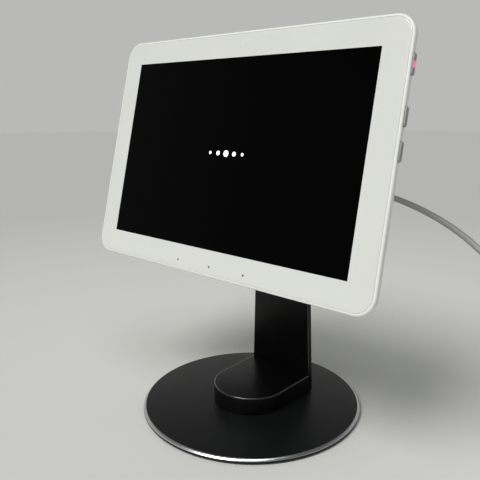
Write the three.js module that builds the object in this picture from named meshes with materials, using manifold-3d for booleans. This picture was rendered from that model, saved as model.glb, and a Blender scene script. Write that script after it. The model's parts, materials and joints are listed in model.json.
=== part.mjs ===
// A desk smart display: a thin touch screen unit on a weighted round stand.
// Millimetres, +Z up. The origin is the middle of the underside, and the screen looks towards -Y.
// The stand swivels on its base about Z, the screen tilts about X, and three side buttons press in.
import * as THREE from "three";
import { mergeVertices } from "three/addons/utils/BufferGeometryUtils.js";
import Module from "manifold-3d";

const wasm = await Module();
wasm.setup();

// ---- Driving dimensions ----
// Clearances
const SEAT = 0.1; // between pieces stacked in the stand
const FIT = 0.25; // between pieces seated on each other in the tilted screen unit
const RUN = 0.08; // radial, between a shaft and the bore it turns in
const SLIDE = 0.2; // round a button in its slot

// Screen unit, in its own frame: x right, y into the unit from its front plane, z up
const SCREEN_WIDTH = 172.3;
const SCREEN_HEIGHT = 107.7;
const SIDE_BORDER = 15.05;
const TOP_BORDER = 14.65; // and the same below the screen
const UNIT_WIDTH = SCREEN_WIDTH + 2 * SIDE_BORDER;
const UNIT_HEIGHT = SCREEN_HEIGHT + 2 * TOP_BORDER;
const UNIT_DEPTH = 15;
const CORNER_RADIUS = 10.5;
const BAND_DEPTH = 4.5; // straight side wall of the front frame
const RIM = 1.3; // rim of the frame round the glass
const FRAME_WALL = 1.6;
const LEDGE = 1; // thickness of the frame's ledge under the glass
const GLASS = 1.1;
const GASKET = 0.5;
const LCD = 2.4;
const LCD_MARGIN = 2.5; // panel past the lit area, all round
const MID_PLATE = 0.8;
const BOARD = 1.2;
const THIN_BOARD = 0.8; // microphone, sensor and button boards
const COVER_WALL = 1.8;
const COVER_DRAW_IN = 9; // of the rear cover's back from its edge
const COVER_SCREW_INSET = { x: 21.2, z: 19.5 }; // from the unit's sides, top and bottom
const PLATE_BOSS = { radius: 2.4, high: 2.2 }; // inside the cover, for the bracket's screws
const TILT = 13.4; // degrees that the screen leans back at rest

// Holes in the border
const MICROPHONE = { radius: 0.45, spacing: 25, fromBottom: 5.6 };
const SENSOR = { radius: 1.1, fromTop: 7 };

// Side buttons, on the right, with their middles below the unit's top
const BUTTON_WIDTH = 2.4;
const BUTTON_PROUD = 0.8;
const BUTTON_BEHIND = 2.35; // middle of a button behind the front plane
const BUTTON_TRAVEL = 0.4;
const MUTE = { fromTop: 23.3, length: 10 };
const VOLUME_UP = { fromTop: 46.6, length: 9.2 };
const VOLUME_DOWN = { fromTop: 62.2, length: 9.2 };
const LENS = { width: 1.5, length: 3.1 };

// Speakers, from the unit's sides and bottom to their middles
const SPEAKER = { width: 24, height: 44, fromSide: 37.2, fromBottom: 40.5 };
const SLOT = { width: 14, height: 1.2, pitch: 2.6, count: 7 };

// Tilt hinge
const PIVOT_Y = 11.2;
const PIVOT_Z = 146.5;
const PIVOT_BEHIND = 18; // the rear cover's flat back
const PIN_RADIUS = 3;
const PIN_HEAD = { radius: 5, thick: 2.3 };
const NUT = { radius: 5, thick: 3.2 };
const BARREL_RADIUS = 8;
const BARREL_WIDTH = 24;
const FRICTION_WASHER = 1;
const EAR = 2.5;
const PLATE = { width: 64, height: 58, thick: 2.5, corner: 6 };

// Base
const PAD = 0.8;
const PAD_INSET = 3.5; // inside the disc's edge
const DISC_RADIUS = 65.5;
const DISC = 2.3;
const DISC_CHAMFER = 1.1;
const BEARING_RADIUS = 4.1; // bore for the swivel screw
const BUSH = { radius: 6, flange: 11, thick: 1 };
const GLIDE = 0.5;
const SWIVEL_HEAD = { radius: 7.5, thick: 0.9 };
const STOP_PIN = { radius: 1.4, fromAxis: 15.5, above: 5 };

// Stand
const NOSE_RADIUS = 22.8;
const FOOT_HEIGHT = 10.2;
const FOOT_WALL = 2.6;
const FOOT_BACK_WALL = 9;
const FOOT_LIFT = 0.3; // foot above the disc
const FOOT_BOSS = 9;
const FOOT_RIB = 2;
const COLUMN_FRONT = 28.2;
const COLUMN = 3.9;
const COLUMN_FOOT_WIDTH = 46;
const COLUMN_TOP_WIDTH = 37;
const COLUMN_TOP_CORNER = 9;
const COLUMN_ABOVE_PIVOT = 20;
const EASE = 0.9; // rounding of the column's long edges
const ARM = { thick: 3, past: 3, screwRise: 11, corner: 4 };

// Screws: shank radius, head radius and height, and radius of the driver's hexagon
const SMALL_SCREW = { shank: 0.9, head: 1.7, high: 0.9, drive: 0.7 };
const FRAME_SCREW = { shank: 1.5, head: 2.9, high: 1.4, drive: 1.2 };

// Cord: 1.5 m of lead
const CORD_RADIUS = 1.7;
const CORD_PITCH = 3.45; // between the coil's turns
const PORT = { x: 42, z: -8, width: 9.2, height: 3.4, wall: 0.35 };
const PLUG = { width: 11.2, height: 6.2, length: 17, tongue: 5 };
const RELIEF = { length: 11, radius: 2.6 };
const COIL = { x: 163, y: 76, middle: 20, across: 3, up: 4, lift: 0.9 };
const TIE = { thick: 0.6, wide: 5, gap: 0.2 };
const ADAPTER = { x: 164, y: 3, width: 38, length: 38, height: 27, corner: 6 };
const OUTLET = { x: 152, z: 7 };
const PRONG = { apart: 12.7, thick: 1.5, high: 6.3, out: 16, in: 4 };

const ROUND = 24; // facets of a round piece
const FINE = 12; // facets of a screw or a short pin
const CORNER_STEPS = 5;
const X = "x";
const Y = "y";
const Z = "z";

// ---- Finishes ----
const finish = (color, roughness, metalness = 0) => () =>
  new THREE.MeshStandardMaterial({ color, roughness, metalness });
const WHITE_SHELL = finish(0xe6e8e4, 0.45);
const GLASS_FRONT = finish(0xdfe2de, 0.08);
const PANEL_BLACK = finish(0x050507, 0.3);
const FOAM = finish(0x2a2a2c, 0.9);
const PLATED_STEEL = finish(0xa9abad, 0.35, 1);
const SATIN_BLACK = finish(0x17181a, 0.5, 0.3);
const MATT_BLACK = finish(0x1c1c1e, 0.7);
const CIRCUIT = finish(0x14432c, 0.5);
const COPPER = finish(0xb87345, 0.35, 1);
const RUBBER = finish(0x101011, 0.9);
const PTFE = finish(0xdcdcd8, 0.6);
const BRONZE = finish(0x9c7a3e, 0.4, 1);
const GREY_BUTTON = finish(0x8f9290, 0.5);
const RED_LENS = finish(0xd01528, 0.3);
const WHITE_LEAD = finish(0xc9cbc9, 0.5);

// ---- Solids ----
// A closed geometry as a solid for joining and cutting.
function solid(geometry) {
  const bare = new THREE.BufferGeometry();
  bare.setAttribute("position", geometry.getAttribute("position"));
  bare.setIndex(geometry.index);
  const merged = mergeVertices(bare, 1e-4);
  return new wasm.Manifold(
    new wasm.Mesh({
      numProp: 3,
      vertProperties: new Float32Array(merged.getAttribute("position").array),
      triVerts: new Uint32Array(merged.index.array),
    }),
  );
}

function geometryOf(made) {
  const { numProp, vertProperties, triVerts } = made.getMesh();
  const places = new Float32Array((vertProperties.length / numProp) * 3);
  for (let i = 0; i < places.length / 3; i++)
    places.set(vertProperties.subarray(i * numProp, i * numProp + 3), i * 3);
  return new THREE.BufferGeometry()
    .setAttribute("position", new THREE.BufferAttribute(places, 3))
    .setIndex(new THREE.BufferAttribute(triVerts, 1));
}

const join = (...pieces) =>
  geometryOf(pieces.map(solid).reduce((all, one) => all.add(one)));
const cut = (body, ...tools) =>
  geometryOf(tools.map(solid).reduce((left, tool) => left.subtract(tool), solid(body)));

const block = (width, depth, height, x = 0, y = 0, z = 0) =>
  new THREE.BoxGeometry(width, depth, height).translate(x, y, z);

// A round bar between two places along one axis, with the other two coordinates in across.
function bar(radius, axis, from, to, across = [0, 0], facets = ROUND) {
  const geometry = new THREE.CylinderGeometry(radius, radius, to - from, facets);
  const middle = (from + to) / 2;
  if (axis === X) return geometry.rotateZ(-Math.PI / 2).translate(middle, ...across);
  if (axis === Y) return geometry.translate(across[0], middle, across[1]);
  return geometry.rotateX(Math.PI / 2).translate(...across, middle);
}

// A solid of revolution about Z from [radius, height] points, listed anticlockwise.
const turned = (profile, facets) =>
  new THREE.LatheGeometry(
    profile.map(([radius, height]) => new THREE.Vector2(radius, height)),
    facets,
  ).rotateX(Math.PI / 2);

// A washer or bush about Z.
const collar = (inner, outer, low, high, facets = ROUND) =>
  turned([[inner, low], [outer, low], [outer, high], [inner, high], [inner, low]], facets);

// An outline's flat plate, from one height to another.
const plate = (points, low, high) =>
  new THREE.ExtrudeGeometry(new THREE.Shape(points), {
    depth: high - low,
    bevelEnabled: false,
    steps: 1,
  }).translate(0, 0, low);

// Points round a rectangle with rounded corners, anticlockwise.
function roundedOutline(width, height, radius, x = 0, z = 0) {
  const points = [];
  for (const [right, up, turn] of [[1, -1, -0.5], [1, 1, 0], [-1, 1, 0.5], [-1, -1, 1]])
    for (let i = 0; i <= CORNER_STEPS; i++) {
      const angle = (turn + i / CORNER_STEPS / 2) * Math.PI;
      points.push(
        new THREE.Vector2(
          x + right * (width / 2 - radius) + radius * Math.cos(angle),
          z + up * (height / 2 - radius) + radius * Math.sin(angle),
        ),
      );
    }
  return points;
}

// A skin over outlines [points, y] of equal counts, from front to back, closed by flat ends.
function lofted(stations) {
  const count = stations[0][0].length;
  const places = stations.flatMap(([points, y]) => points.flatMap((p) => [p.x, y, p.y]));
  const faces = [];
  for (let s = 0; s + 1 < stations.length; s++)
    for (let i = 0; i < count; i++) {
      const [a, b] = [s * count + i, s * count + ((i + 1) % count)];
      faces.push(a, b + count, b, a, a + count, b + count);
    }
  const back = (stations.length - 1) * count;
  for (let i = 1; i + 1 < count; i++) faces.push(0, i, i + 1, back, back + i + 1, back + i);
  return new THREE.BufferGeometry()
    .setAttribute("position", new THREE.BufferAttribute(new Float32Array(places), 3))
    .setIndex(faces);
}

// A plate parallel to the screen, between two depths.
const panel = (points, front, back) => lofted([[points, front], [points, back]]);

// The unit's outline drawn in by an inset, keeping the corners concentric.
const unitOutline = (inset) =>
  roundedOutline(
    UNIT_WIDTH - 2 * inset,
    UNIT_HEIGHT - 2 * inset,
    Math.max(CORNER_RADIUS - inset, 0.8),
  );

// A screw along Y: its head behind the seat, with a hexagon for the driver, its shank forwards.
const rearScrew = (size, x, z, seat, tip) =>
  cut(
    join(
      bar(size.head, Y, seat, seat + size.high, [x, z], FINE),
      bar(size.shank, Y, tip, seat + size.high / 2, [x, z], FINE),
    ),
    bar(size.drive, Y, seat + size.high / 2, seat + 2 * size.high, [x, z], 6),
  );

const root = new THREE.Group();

function add(group, name, material, geometry) {
  const mesh = new THREE.Mesh(geometry, material());
  mesh.name = name;
  group.add(mesh);
}

// ---- Base: the part that stays still on the desk ----
const discLow = PAD + SEAT;
const discTop = discLow + DISC;
const screwHeadTop = discLow + SEAT + SWIVEL_HEAD.thick;
const counterboreTop = screwHeadTop + SEAT;
const flangeTop = discTop + SEAT + BUSH.thick;

function makeBase() {
  const base = new THREE.Group();
  const padRadius = DISC_RADIUS - PAD_INSET;
  add(base, "rubber_pad", RUBBER, bar(padRadius, Z, 0, PAD, [0, 0], 64));
  const disc = turned(
    [
      [0, discLow],
      [DISC_RADIUS, discLow],
      [DISC_RADIUS, discTop - DISC_CHAMFER],
      [DISC_RADIUS - DISC_CHAMFER, discTop],
      [0, discTop],
    ],
    96,
  );
  const stopAt = [0, STOP_PIN.fromAxis];
  add(
    base,
    "base_disc",
    SATIN_BLACK,
    cut(
      disc,
      bar(SWIVEL_HEAD.radius + 0.5, Z, discLow - 1, counterboreTop),
      bar(BUSH.radius + SEAT, Z, discLow, discTop + 1),
      bar(STOP_PIN.radius + SEAT, Z, discLow - 1, discTop + 1, stopAt, FINE),
    ),
  );
  add(
    base,
    "swivel_bush",
    BRONZE,
    turned(
      [
        [BEARING_RADIUS, counterboreTop + SEAT],
        [BUSH.radius, counterboreTop + SEAT],
        [BUSH.radius, discTop + SEAT],
        [BUSH.flange, discTop + SEAT],
        [BUSH.flange, flangeTop],
        [BEARING_RADIUS, flangeTop],
        [BEARING_RADIUS, counterboreTop + SEAT],
      ],
      ROUND,
    ),
  );
  const pin = bar(STOP_PIN.radius, Z, discLow + SEAT, discTop + STOP_PIN.above, stopAt, FINE);
  add(base, "stop_pin", PLATED_STEEL, pin);
  return base;
}

// ---- Stand: foot, column and the fixed half of the hinge ----
const footLow = discTop + FOOT_LIFT;
const footTop = footLow + FOOT_HEIGHT;
const footRoof = footTop - FOOT_WALL;
const footBack = COLUMN_FRONT - SEAT;
const glideTop = flangeTop + SEAT + GLIDE;
const columnBack = COLUMN_FRONT + COLUMN;
const armFront = COLUMN_FRONT - SEAT - ARM.thick;
const footScrewX = BUSH.flange + 2;
const footScrewZ = footLow + FOOT_HEIGHT / 2;
const armScrewZ = [PIVOT_Z + ARM.screwRise, PIVOT_Z - ARM.screwRise];

// A half-round nose about the swivel axis with straight sides running back, drawn in by a wall.
function footOutline(inset, back) {
  const radius = NOSE_RADIUS - inset;
  const points = [new THREE.Vector2(radius, back), new THREE.Vector2(-radius, back)];
  const steps = 28;
  for (let i = 0; i <= steps; i++) {
    const angle = Math.PI * (1 + i / steps);
    points.push(new THREE.Vector2(radius * Math.cos(angle), radius * Math.sin(angle)));
  }
  return points;
}

// The foot is a hollow casting: a boss for the swivel screw and two ribs that meet the stop pin.
function makeFoot(stand) {
  const eased = 0.8;
  const body = join(
    plate(footOutline(0, footBack), footLow, footTop - eased),
    plate(footOutline(eased / 2, footBack), footTop - eased - 0.2, footTop),
  );
  const hollow = plate(footOutline(FOOT_WALL, footBack - FOOT_BACK_WALL), footLow - 1, footRoof);
  const ribLow = discTop + 2;
  const ribHeight = footRoof + 0.5 - ribLow;
  const ribLength = NOSE_RADIUS - FOOT_WALL / 2 - FOOT_BOSS + 2;
  const ribMiddle = FOOT_BOSS - 2 + ribLength / 2;
  const ribs = [-1, 1].map((side) =>
    block(ribLength, FOOT_RIB, ribHeight, side * ribMiddle, 0, ribLow + ribHeight / 2),
  );
  const screwHoles = [-1, 1].map((side) =>
    bar(
      FRAME_SCREW.shank + SEAT,
      Y,
      footBack - FOOT_BACK_WALL + 1,
      footBack + 1,
      [side * footScrewX, footScrewZ],
      FINE,
    ),
  );
  const foot = join(
    cut(body, hollow),
    bar(FOOT_BOSS, Z, glideTop + SEAT, footRoof + 0.5),
    ...ribs,
  );
  const bore = bar(BEARING_RADIUS, Z, footLow - 1, footRoof - 0.4);
  add(stand, "foot", SATIN_BLACK, cut(foot, bore, ...screwHoles));
  const glide = collar(BEARING_RADIUS, BUSH.flange, flangeTop + SEAT, glideTop);
  add(stand, "glide_washer", PTFE, glide);
  add(
    stand,
    "swivel_screw",
    PLATED_STEEL,
    join(
      bar(SWIVEL_HEAD.radius, Z, discLow + SEAT, screwHeadTop),
      bar(BEARING_RADIUS - RUN, Z, screwHeadTop - 0.5, footRoof - 0.6),
    ),
  );
}

// The column's outline seen from the front: a taper with a rounded top, drawn in by an inset.
function columnOutline(inset) {
  const top = PIVOT_Z + COLUMN_ABOVE_PIVOT;
  const radius = COLUMN_TOP_CORNER - inset;
  const foot = COLUMN_FOOT_WIDTH / 2 - inset;
  const points = [new THREE.Vector2(-foot, footLow), new THREE.Vector2(foot, footLow)];
  for (const [side, start] of [[1, 0], [-1, Math.PI / 2]])
    for (let i = 0; i <= CORNER_STEPS; i++) {
      const angle = start + (i / CORNER_STEPS) * (Math.PI / 2);
      points.push(
        new THREE.Vector2(
          side * (COLUMN_TOP_WIDTH / 2 - COLUMN_TOP_CORNER) + radius * Math.cos(angle),
          top - COLUMN_TOP_CORNER + radius * Math.sin(angle),
        ),
      );
    }
  return points;
}

function makeColumn(stand) {
  const body = lofted([
    [columnOutline(EASE), COLUMN_FRONT],
    [columnOutline(EASE * 0.3), COLUMN_FRONT + EASE * 0.3],
    [columnOutline(0), COLUMN_FRONT + EASE],
    [columnOutline(0), columnBack - EASE],
    [columnOutline(EASE * 0.3), columnBack - EASE * 0.3],
    [columnOutline(EASE), columnBack],
  ]);
  const seat = columnBack - FRAME_SCREW.high - SEAT;
  const screws = [
    ["foot_screw_right", footScrewX, footScrewZ, footBack - FOOT_BACK_WALL + 2],
    ["foot_screw_left", -footScrewX, footScrewZ, footBack - FOOT_BACK_WALL + 2],
    ["arm_screw_upper", 0, armScrewZ[0], armFront + 0.6],
    ["arm_screw_lower", 0, armScrewZ[1], armFront + 0.6],
  ];
  const holes = screws.flatMap(([, x, z]) => [
    bar(FRAME_SCREW.shank + 0.3, Y, COLUMN_FRONT - 1, columnBack + 1, [x, z], FINE),
    bar(FRAME_SCREW.head + 0.3, Y, seat - SEAT, columnBack + 1, [x, z], FINE),
  ]);
  add(stand, "column", SATIN_BLACK, cut(body, ...holes));
  for (const [name, x, z, tip] of screws)
    add(stand, name, PLATED_STEEL, rearScrew(FRAME_SCREW, x, z, seat, tip));
}

function makeHingeArm(stand) {
  const width = BARREL_WIDTH + 2 * ARM.past;
  const height = 2 * (ARM.screwRise + FRAME_SCREW.head + ARM.past);
  const outline = roundedOutline(width, height, ARM.corner, 0, PIVOT_Z);
  const pivot = [PIVOT_Y, PIVOT_Z];
  const webDepth = armFront + 1 - PIVOT_Y;
  const webHeight = 2 * BARREL_RADIUS - 3;
  const holes = armScrewZ.map((z) =>
    bar(FRAME_SCREW.shank + SEAT, Y, armFront - 1, columnBack, [0, z], FINE),
  );
  add(
    stand,
    "hinge_arm",
    SATIN_BLACK,
    cut(
      join(
        panel(outline, armFront, armFront + ARM.thick),
        bar(BARREL_RADIUS, X, -BARREL_WIDTH / 2, BARREL_WIDTH / 2, pivot),
        block(BARREL_WIDTH, webDepth, webHeight, 0, PIVOT_Y + webDepth / 2, PIVOT_Z),
      ),
      bar(PIN_RADIUS + RUN, X, -BARREL_WIDTH, BARREL_WIDTH, pivot),
      ...holes,
    ),
  );
  for (const [side, name] of [[-1, "left"], [1, "right"]]) {
    const washer = collar(PIN_RADIUS + RUN, BARREL_RADIUS - 0.4, 0, FRICTION_WASHER);
    washer.rotateY((side * Math.PI) / 2);
    washer.translate(side * (BARREL_WIDTH / 2 + SEAT), PIVOT_Y, PIVOT_Z);
    add(stand, `friction_washer_${name}`, BRONZE, washer);
  }
}

// ---- Screen unit ----
// Its pieces are made about the middle of the front plane, and hang from the tilt pivot.
const pivotDepth = UNIT_DEPTH + PIVOT_BEHIND;
const glassBack = GLASS + 0.1;
const ledgeBack = glassBack + LEDGE;
const lcdFront = glassBack + FIT + GASKET;
const midFront = lcdFront + LCD + FIT;
const midBack = midFront + MID_PLATE;
const boardFront = midBack + BOARD / 2 + 0.2;
const boardBack = boardFront + BOARD;
const coverFront = BAND_DEPTH + FIT;
const coverInside = UNIT_DEPTH - COVER_WALL;
const bossFront = coverInside - PLATE_BOSS.high;
const wallInside = RIM + FRAME_WALL;
const lcd = { width: SCREEN_WIDTH + 2 * LCD_MARGIN, height: SCREEN_HEIGHT + 2 * LCD_MARGIN };
const portFront = boardBack + FIT;
const outside = 5; // past any face, for a cut that runs through it

const fourCorners = (x, z) => [
  [x, z, "upper_right"],
  [-x, z, "upper_left"],
  [x, -z, "lower_right"],
  [-x, -z, "lower_left"],
];
const coverScrews = fourCorners(
  UNIT_WIDTH / 2 - COVER_SCREW_INSET.x,
  UNIT_HEIGHT / 2 - COVER_SCREW_INSET.z,
);
const plateScrews = fourCorners(
  PLATE.width / 2 - PLATE.corner,
  PLATE.height / 2 - PLATE.corner - 1,
);
const heightOf = (button) => UNIT_HEIGHT / 2 - button.fromTop;

// A bar along X with a long round-ended section, upright in the unit's side.
function pill(length, width, z, from, to) {
  const radius = width / 2;
  const reach = length / 2 - radius;
  return join(
    block(to - from, width, 2 * reach, (from + to) / 2, BUTTON_BEHIND, z),
    bar(radius, X, from, to, [BUTTON_BEHIND, z - reach], FINE),
    bar(radius, X, from, to, [BUTTON_BEHIND, z + reach], FINE),
  );
}

function makeFront(unit) {
  const shell = lofted([
    [unitOutline(0.9), 0.05],
    [unitOutline(0.25), 0.3],
    [unitOutline(0), 0.9],
    [unitOutline(0), BAND_DEPTH - 0.3],
    [unitOutline(0.3), BAND_DEPTH],
  ]);
  const recess = panel(unitOutline(RIM), -outside, glassBack);
  const windowOutline = roundedOutline(lcd.width + 2 * FIT, lcd.height + 2 * FIT, 1.5);
  const inside = panel(unitOutline(wallInside), ledgeBack, UNIT_DEPTH);
  const slots = [MUTE, VOLUME_UP, VOLUME_DOWN].map((button) =>
    pill(
      button.length + 2 * SLIDE,
      BUTTON_WIDTH + 2 * SLIDE,
      heightOf(button),
      UNIT_WIDTH / 2 - 2 * wallInside,
      UNIT_WIDTH / 2 + outside,
    ),
  );
  add(
    unit,
    "front_frame",
    WHITE_SHELL,
    cut(shell, recess, panel(windowOutline, -outside, UNIT_DEPTH), inside, ...slots),
  );
  const sensorAt = [0, UNIT_HEIGHT / 2 - SENSOR.fromTop];
  const microphones = [-1, 0, 1].map((place) =>
    bar(
      MICROPHONE.radius,
      Y,
      -outside,
      outside,
      [place * MICROPHONE.spacing, MICROPHONE.fromBottom - UNIT_HEIGHT / 2],
      8,
    ),
  );
  add(
    unit,
    "cover_glass",
    GLASS_FRONT,
    cut(
      panel(unitOutline(RIM + SLIDE), 0, GLASS),
      bar(SENSOR.radius, Y, -outside, outside, sensorAt, FINE),
      ...microphones,
    ),
  );
  add(
    unit,
    "glass_gasket",
    FOAM,
    cut(
      panel(roundedOutline(lcd.width - 1, lcd.height - 1, 1.5), glassBack + 0.15, lcdFront - 0.15),
      panel(roundedOutline(SCREEN_WIDTH + 1, SCREEN_HEIGHT + 1, 1), -outside, UNIT_DEPTH),
    ),
  );
  add(
    unit,
    "lcd_panel",
    PANEL_BLACK,
    panel(roundedOutline(lcd.width, lcd.height, 1), lcdFront, lcdFront + LCD),
  );
}

// The rear cover: a thin shell that slopes in from the frame's edge to a flat back.
function makeCover(unit) {
  const profile = [
    [0.4, coverFront],
    [1.3, coverFront + 1],
    [COVER_DRAW_IN - 1.4, UNIT_DEPTH - 2.6],
    [COVER_DRAW_IN + 0.4, UNIT_DEPTH - 1.1],
    [COVER_DRAW_IN + 2.4, UNIT_DEPTH - 0.3],
    [COVER_DRAW_IN + 4.6, UNIT_DEPTH],
  ];
  const hollow = [
    [COVER_WALL + 0.4, coverFront - 1],
    [COVER_WALL + 1.3, coverFront],
    [COVER_DRAW_IN + COVER_WALL - 1.4, coverInside - 1.9],
    [COVER_DRAW_IN + COVER_WALL + 1.6, coverInside],
  ];
  const skin = (stations) => lofted(stations.map(([inset, y]) => [unitOutline(inset), y]));
  const bosses = plateScrews.map(([x, z]) =>
    bar(PLATE_BOSS.radius, Y, bossFront, coverInside + 0.5, [x, z], FINE),
  );
  const middleSlot = (SLOT.count - 1) / 2;
  const grille = [-1, 1].flatMap((side) =>
    Array.from({ length: SLOT.count }, (_, row) =>
      block(
        SLOT.width,
        2 * COVER_WALL,
        SLOT.height,
        side * (UNIT_WIDTH / 2 - SPEAKER.fromSide),
        UNIT_DEPTH - COVER_WALL / 2,
        SPEAKER.fromBottom - UNIT_HEIGHT / 2 + (row - middleSlot) * SLOT.pitch,
      ),
    ),
  );
  const seat = UNIT_DEPTH - SMALL_SCREW.high - SEAT;
  const holes = [...coverScrews, ...plateScrews].map(([x, z]) =>
    bar(SMALL_SCREW.shank + FIT, Y, coverFront, UNIT_DEPTH + outside, [x, z], FINE),
  );
  const sinks = coverScrews.map(([x, z]) =>
    bar(SMALL_SCREW.head + 0.3, Y, seat - SEAT, UNIT_DEPTH + outside, [x, z], FINE),
  );
  const portOutline = roundedOutline(PORT.width + 0.5, PORT.height + 0.5, 1.9, PORT.x, PORT.z);
  const portHole = panel(portOutline, coverFront, UNIT_DEPTH + outside);
  add(
    unit,
    "rear_cover",
    WHITE_SHELL,
    cut(join(cut(skin(profile), skin(hollow)), ...bosses), ...grille, ...holes, ...sinks, portHole),
  );
  for (const [x, z, name] of coverScrews)
    add(
      unit,
      `cover_screw_${name}`,
      PLATED_STEEL,
      rearScrew(SMALL_SCREW, x, z, seat, UNIT_DEPTH - 6),
    );
}

// The electronics: a steel plate with four posts carries the board, speakers and antennas.
function makeElectronics(unit) {
  const posts = coverScrews.map(([x, z]) =>
    bar(2.6, Y, midBack - MID_PLATE / 2, coverInside - FIT, [x, z], FINE),
  );
  const threads = coverScrews.map(([x, z]) =>
    bar(SMALL_SCREW.shank + SEAT, Y, 0, UNIT_DEPTH, [x, z], FINE),
  );
  const carrier = panel(roundedOutline(lcd.width - 6, lcd.height - 6, 3), midFront, midBack);
  add(unit, "mid_plate", PLATED_STEEL, cut(join(carrier, ...posts), ...threads));

  const speakerX = UNIT_WIDTH / 2 - SPEAKER.fromSide;
  const speakerZ = SPEAKER.fromBottom - UNIT_HEIGHT / 2;
  const boardWidth = 2 * (speakerX - SPEAKER.width / 2 - 4);
  const boardHeight = UNIT_HEIGHT - 71;
  const foilThick = 0.8;
  const foilFront = bossFront - 2 * FIT - foilThick;
  const can = { width: 44, height: 38, front: boardBack + FIT, back: foilFront - FIT };
  const canX = 8 + can.width / 2 - boardWidth / 2;
  const board = roundedOutline(boardWidth, boardHeight, 2);
  add(unit, "main_board", CIRCUIT, panel(board, boardFront, boardBack));
  const lid = roundedOutline(can.width, can.height, 1.5, canX, 4);
  add(unit, "shield_can", PLATED_STEEL, panel(lid, can.front, can.back));
  const foil = roundedOutline(can.width + 12, can.height + 10, 2, canX, 4);
  add(unit, "heat_spreader", COPPER, panel(foil, foilFront, foilFront + foilThick));

  for (const [side, name] of [[-1, "left"], [1, "right"]]) {
    const box = roundedOutline(SPEAKER.width, SPEAKER.height, 3, side * speakerX, speakerZ);
    add(unit, `speaker_${name}`, MATT_BLACK, panel(box, boardFront, coverInside - 1.2));
    const strip = roundedOutline(30, 7, 1, side * (speakerX - 4), UNIT_HEIGHT / 2 - 28.5);
    add(unit, `antenna_${name}`, COPPER, panel(strip, boardFront, boardFront + THIN_BOARD));
  }
  const stripHeight = 4.4;
  for (const [name, width, z] of [
    ["microphone_board", 64, 6.4 - UNIT_HEIGHT / 2],
    ["sensor_board", 18, UNIT_HEIGHT / 2 - 6.8],
  ]) {
    const strip = roundedOutline(width, stripHeight, 1, 0, z);
    add(unit, name, CIRCUIT, panel(strip, midFront, midFront + THIN_BOARD));
  }
  const portHole = (inset) =>
    roundedOutline(PORT.width - 2 * inset, PORT.height - 2 * inset, 1.6 - inset, PORT.x, PORT.z);
  add(
    unit,
    "usb_socket",
    PLATED_STEEL,
    cut(
      panel(portHole(0), portFront, UNIT_DEPTH - 0.3),
      panel(portHole(PORT.wall), portFront + 1, UNIT_DEPTH + outside),
    ),
  );
}

// The buttons, each on its own switch, all on one narrow board behind the right side wall.
function makeButtons(unit) {
  const stem = UNIT_WIDTH / 2 - wallInside - 0.5 - BUTTON_TRAVEL;
  const face = UNIT_WIDTH / 2 + BUTTON_PROUD;
  const lipFront = ledgeBack + FIT;
  const lipDeep = BUTTON_BEHIND + BUTTON_WIDTH / 2 - lipFront;
  const lip = { thick: 0.8, past: 1.2 };
  const clear = 0.15; // between a button, its switch and the board
  const dome = { thick: 1.8, deep: 1.6, high: 4.2 };
  const domeFace = stem - BUTTON_TRAVEL - clear;
  for (const [button, name] of [
    [MUTE, "mute"],
    [VOLUME_UP, "volume_up"],
    [VOLUME_DOWN, "volume_down"],
  ]) {
    const z = heightOf(button);
    const cap = join(
      pill(button.length, BUTTON_WIDTH, z, stem, face - 0.25),
      pill(button.length - 0.5, BUTTON_WIDTH - 0.5, z, stem, face),
      block(
        lip.thick,
        lipDeep,
        button.length + 2 * lip.past,
        stem + lip.thick / 2,
        lipFront + lipDeep / 2,
        z,
      ),
    );
    const lensHole = pill(
      LENS.length + 2 * SEAT,
      LENS.width + 2 * SEAT,
      z,
      stem - outside,
      face + outside,
    );
    add(unit, `${name}_button`, GREY_BUTTON, button === MUTE ? cut(cap, lensHole) : cap);
    add(
      unit,
      `${name}_switch`,
      PLATED_STEEL,
      block(dome.thick, dome.deep, dome.high, domeFace - dome.thick / 2, lipFront + dome.deep / 2, z),
    );
  }
  const lens = pill(LENS.length, LENS.width, heightOf(MUTE), stem + SEAT, face - clear);
  add(unit, "mute_lens", RED_LENS, lens);
  const boardX = domeFace - dome.thick - clear - THIN_BOARD / 2;
  const boardHeight = VOLUME_DOWN.fromTop - MUTE.fromTop + 16;
  const boardZ = (heightOf(MUTE) + heightOf(VOLUME_DOWN)) / 2;
  add(
    unit,
    "button_board",
    CIRCUIT,
    block(THIN_BOARD, 3, boardHeight, boardX, lipFront + 1.5, boardZ),
  );
}

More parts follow.
